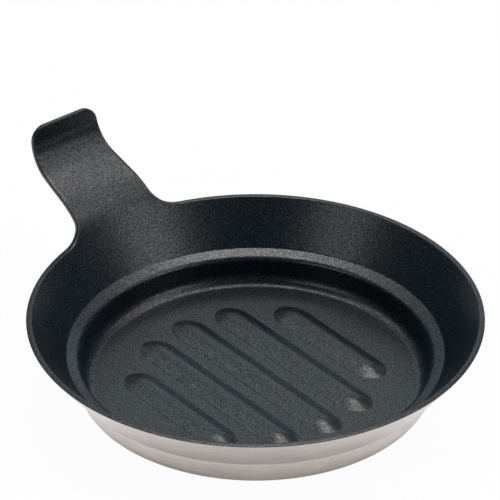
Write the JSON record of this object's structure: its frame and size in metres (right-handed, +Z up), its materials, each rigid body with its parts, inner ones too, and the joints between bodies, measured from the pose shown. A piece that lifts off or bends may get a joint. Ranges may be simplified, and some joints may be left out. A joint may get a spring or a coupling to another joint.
{
  "type": "oyakodon pan",
  "caption": "Small round one-portion pan with a stepped, flared wall, raised floor ridges, black non-stick inside, bare satin outside and a broad upturned tongue handle.",
  "frame": {"origin": "on the dish's axis, in the plane of the underside that the pan stands on", "axes": "+Z up along the dish's axis, +Y along the handle, X across it"},
  "size_m": [0.1798, 0.2151, 0.0642],
  "materials": {
    "nonstick": "fine-grained matt black non-stick coating",
    "core": "plain, sealed between the other layers",
    "steel": "satin, brushed round the dish"
  },
  "bodies": {
    "root": {"nonstick_coating": "nonstick", "aluminium_core": "core", "steel_outer_skin": "steel"}
  },
  "joints": []
}
